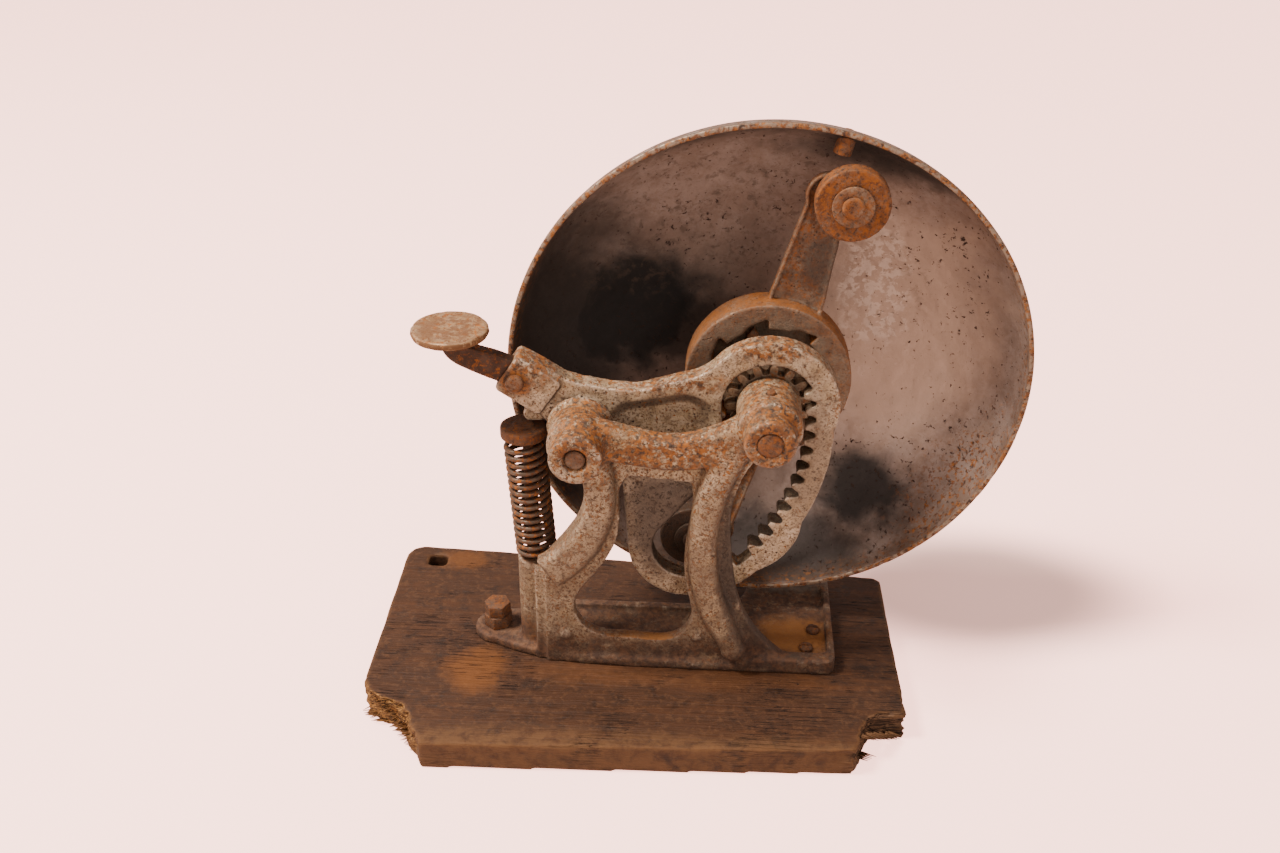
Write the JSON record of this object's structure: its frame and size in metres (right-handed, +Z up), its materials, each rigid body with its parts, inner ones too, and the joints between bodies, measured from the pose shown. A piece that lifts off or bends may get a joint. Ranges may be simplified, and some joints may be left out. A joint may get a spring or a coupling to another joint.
{
  "type": "foot gong",
  "caption": "Foot-operated gong: a sprung treadle lever with an internal gear sector whirls a two-armed striker inside a shallow bell, on a cast frame screwed to a board.",
  "frame": {"origin": "point on the board's underside directly below the main shaft at the plane of the bell's rim", "axes": "+Z up; +Y along the main shaft, from the frame towards the bell; +X from the pedal towards the shaft"},
  "size_m": [0.3888, 0.222, 0.3444],
  "materials": {
    "old_wood": "weathered dark brown board with broken corners and rust stains",
    "painted_iron": "worn silver-grey paint on cast iron with orange rust speckles",
    "rusty_iron": "brown rusted casting",
    "rusty_steel": "rusted",
    "worn_steel": "dull, lightly rusted",
    "dark_steel": "dark oxidised",
    "pedal_steel": "worn bright at the edge, brown scale on top",
    "spring_steel": "dull spring wire",
    "gear_steel": "greasy grey",
    "bell_metal": "tarnished grey with dark smudges and rust spots"
  },
  "bodies": {
    "root": {"mounting_board": "old_wood", "frame_casting": "painted_iron", "foot_bolt": "rusty_steel", "foot_bolt_nut": "rusty_steel", "foot_screws": "rusty_steel", "lever_pin": "worn_steel", "lever_pin_washer": "rusty_steel", "lever_pin_cotter": "worn_steel", "main_shaft": "worn_steel", "shaft_lock_pin": "worn_steel", "thrust_washer": "worn_steel", "return_spring": "spring_steel", "bell_spacer": "dark_steel", "bell": "bell_metal", "bell_stud": "worn_steel", "bell_inner_washer": "rusty_steel", "bell_outer_washer": "rusty_steel", "bell_nut": "rusty_steel"},
    "lever": {"gear_lever": "painted_iron", "pedal_bar": "dark_steel", "pedal_button": "pedal_steel", "pedal_set_screw": "rusty_steel"},
    "spring_plunger": {"spring_cap": "rusty_steel", "spring_rod": "dark_steel"},
    "pinion": {"pinion_gear": "gear_steel", "pawl_carrier": "gear_steel", "pawl_pins": "worn_steel", "pawl_springs": "spring_steel"},
    "pawl_a": {"pawl_upper": "rusty_steel"},
    "pawl_b": {"pawl_lower": "rusty_steel"},
    "striker": {"striker": "rusty_iron", "hammer_rivets": "rusty_steel", "hammer_washers": "rusty_steel"},
    "hammer_a": {"hammer_upper": "rusty_iron"},
    "hammer_b": {"hammer_lower": "rusty_iron"}
  },
  "joints": [
    {"name": "lever_pivot", "type": "hinge", "parent": "root", "child": "lever", "pos_m": [-0.10545, -0.0295, 0.1781], "axis": [0, -1, 0], "range_deg": [0, 38], "stiffness_Nm_per_rad": 2, "springref_deg": -28.65},
    {"name": "pinion_spin", "type": "hinge", "parent": "root", "child": "pinion", "pos_m": [0, -0.0295, 0.192], "axis": [0, -1, 0], "range_deg": [0, 220]},
    {"name": "plunger_slide", "type": "slide", "parent": "root", "child": "spring_plunger", "axis": [0, 0, -1], "range_m": [0, 0.0195], "deforming": ["return_spring"]},
    {"name": "pawl_a_pivot", "type": "hinge", "parent": "pinion", "child": "pawl_a", "pos_m": [-0.01689, 0.003, 0.20175], "axis": [0, -1, 0], "range_deg": [-10, 0]},
    {"name": "pawl_b_pivot", "type": "hinge", "parent": "pinion", "child": "pawl_b", "pos_m": [0.01689, 0.003, 0.18225], "axis": [0, -1, 0], "range_deg": [-10, 0]},
    {"name": "striker_spin", "type": "hinge", "parent": "root", "child": "striker", "pos_m": [0, 0.005, 0.192], "axis": [0, -1, 0], "continuous": true},
    {"name": "hammer_a_spin", "type": "hinge", "parent": "striker", "child": "hammer_a", "pos_m": [0.04042, -0.003, 0.30126], "axis": [0, -1, 0], "continuous": true},
    {"name": "hammer_b_spin", "type": "hinge", "parent": "striker", "child": "hammer_b", "pos_m": [-0.04042, -0.003, 0.08274], "axis": [0, -1, 0], "continuous": true}
  ],
  "couplings": [
    {"joint": "pinion_spin", "follows": "lever_pivot", "ratio": 5.7857},
    {"joint": "plunger_slide", "follows": "lever_pivot", "m_per_rad": 0.0285}
  ]
}
